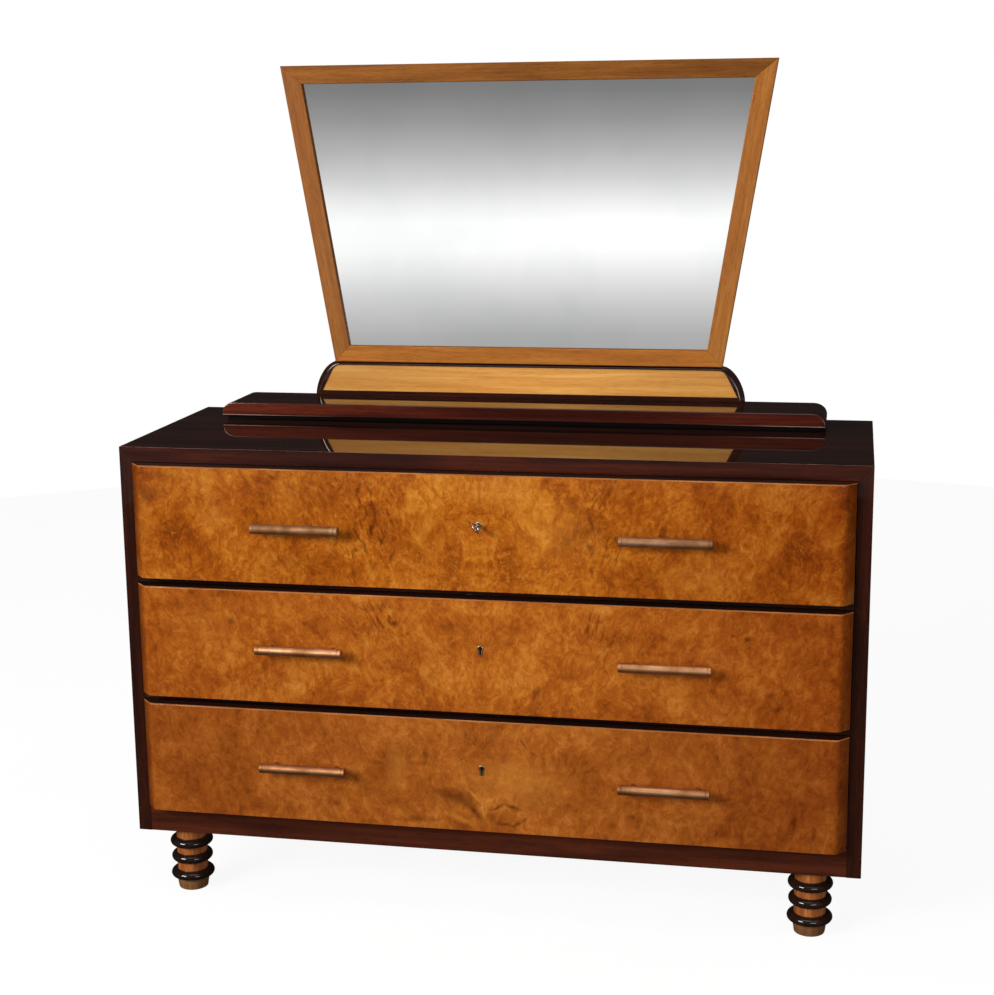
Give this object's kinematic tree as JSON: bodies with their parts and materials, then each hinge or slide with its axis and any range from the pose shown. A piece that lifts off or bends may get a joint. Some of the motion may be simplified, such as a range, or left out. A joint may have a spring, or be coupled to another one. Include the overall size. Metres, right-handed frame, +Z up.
{
  "type": "dresser with mirror",
  "caption": "Low chest of drawers on ringed turned feet, with bar handles, keyed drawer locks and a flared mirror fixed on a stepped base at the back.",
  "frame": {"origin": "on the floor, midway across the width and midway between the key's outermost point and the back", "axes": "+Z up, front towards -Y, +X to the right as one faces the front"},
  "size_m": [1.3, 0.513, 1.4919],
  "materials": {
    "ebonised_wood": "black-brown stained walnut, polished",
    "turned_foot_wood": "turned walnut with ebonised rings, polished",
    "red_walnut_veneer": "dark red-brown walnut, polished",
    "burl_walnut_veneer": "golden burl veneer, polished",
    "light_walnut": "light walnut, satin",
    "pale_walnut_veneer": "honey-coloured walnut veneer, polished",
    "plain_wood": "bare planed poplar",
    "plywood": "bare plywood",
    "copper_bar": "coppery brass bar, dulled by handling",
    "lock_brass": "plain brass",
    "lock_steel": "plain steel",
    "mirror_glass": "silvered glass"
  },
  "bodies": {
    "carcass": {"left_side": "ebonised_wood", "right_side": "ebonised_wood", "top_board": "ebonised_wood", "bottom_board": "plain_wood", "back_panel": "plywood", "bottom_rail": "ebonised_wood", "upper_divider_rail": "ebonised_wood", "lower_divider_rail": "ebonised_wood", "upper_left_runner": "plain_wood", "upper_right_runner": "plain_wood", "lower_left_runner": "plain_wood", "lower_right_runner": "plain_wood", "front_left_foot": "turned_foot_wood", "front_right_foot": "turned_foot_wood", "back_left_foot": "turned_foot_wood", "back_right_foot": "turned_foot_wood", "step_base": "ebonised_wood", "step_board": "red_walnut_veneer", "mirror_base": "ebonised_wood", "mirror_base_panel": "pale_walnut_veneer", "mirror_frame_bottom_rail": "light_walnut", "mirror_frame_top_rail": "light_walnut", "mirror_frame_left_stile": "light_walnut", "mirror_frame_right_stile": "light_walnut", "mirror_glass": "mirror_glass", "mirror_backboard": "plywood", "left_mirror_batten": "plain_wood", "right_mirror_batten": "plain_wood"},
    "top_drawer": {"top_drawer_front": "burl_walnut_veneer", "top_drawer_left_side": "plain_wood", "top_drawer_right_side": "plain_wood", "top_drawer_back": "plain_wood", "top_drawer_bottom": "plywood", "top_drawer_left_handle": "copper_bar", "top_drawer_right_handle": "copper_bar", "top_drawer_keyhole_liner": "lock_brass", "top_drawer_lock_case": "lock_brass"},
    "middle_drawer": {"middle_drawer_front": "burl_walnut_veneer", "middle_drawer_left_side": "plain_wood", "middle_drawer_right_side": "plain_wood", "middle_drawer_back": "plain_wood", "middle_drawer_bottom": "plywood", "middle_drawer_left_handle": "copper_bar", "middle_drawer_right_handle": "copper_bar", "middle_drawer_keyhole_liner": "lock_brass", "middle_drawer_lock_case": "lock_brass"},
    "bottom_drawer": {"bottom_drawer_front": "burl_walnut_veneer", "bottom_drawer_left_side": "plain_wood", "bottom_drawer_right_side": "plain_wood", "bottom_drawer_back": "plain_wood", "bottom_drawer_bottom": "plywood", "bottom_drawer_left_handle": "copper_bar", "bottom_drawer_right_handle": "copper_bar", "bottom_drawer_keyhole_liner": "lock_brass", "bottom_drawer_lock_case": "lock_brass"},
    "top_bolt": {"top_drawer_lock_bolt": "lock_steel"},
    "middle_bolt": {"middle_drawer_lock_bolt": "lock_steel"},
    "bottom_bolt": {"bottom_drawer_lock_bolt": "lock_steel"},
    "key": {"key": "lock_steel"}
  },
  "joints": [
    {"name": "top_drawer_slide", "type": "slide", "parent": "carcass", "child": "top_drawer", "axis": [0, -1, 0], "range_m": [0, 0.34]},
    {"name": "middle_drawer_slide", "type": "slide", "parent": "carcass", "child": "middle_drawer", "axis": [0, -1, 0], "range_m": [0, 0.34]},
    {"name": "bottom_drawer_slide", "type": "slide", "parent": "carcass", "child": "bottom_drawer", "axis": [0, -1, 0], "range_m": [0, 0.34]},
    {"name": "key_turn", "type": "hinge", "parent": "top_drawer", "child": "key", "pos_m": [0, -0.2215, 0.7205], "axis": [0, -1, 0], "range_deg": [0, 140]},
    {"name": "top_bolt_lift", "type": "slide", "parent": "top_drawer", "child": "top_bolt", "axis": [0, 0, 1], "range_m": [0, 0.007]},
    {"name": "middle_bolt_lift", "type": "slide", "parent": "middle_drawer", "child": "middle_bolt", "axis": [0, 0, 1], "range_m": [0, 0.007]},
    {"name": "bottom_bolt_lift", "type": "slide", "parent": "bottom_drawer", "child": "bottom_bolt", "axis": [0, 0, 1], "range_m": [0, 0.007]}
  ],
  "couplings": [
    {"joint": "key_turn", "follows": "top_bolt_lift", "rad_per_m": 349.06}
  ]
}
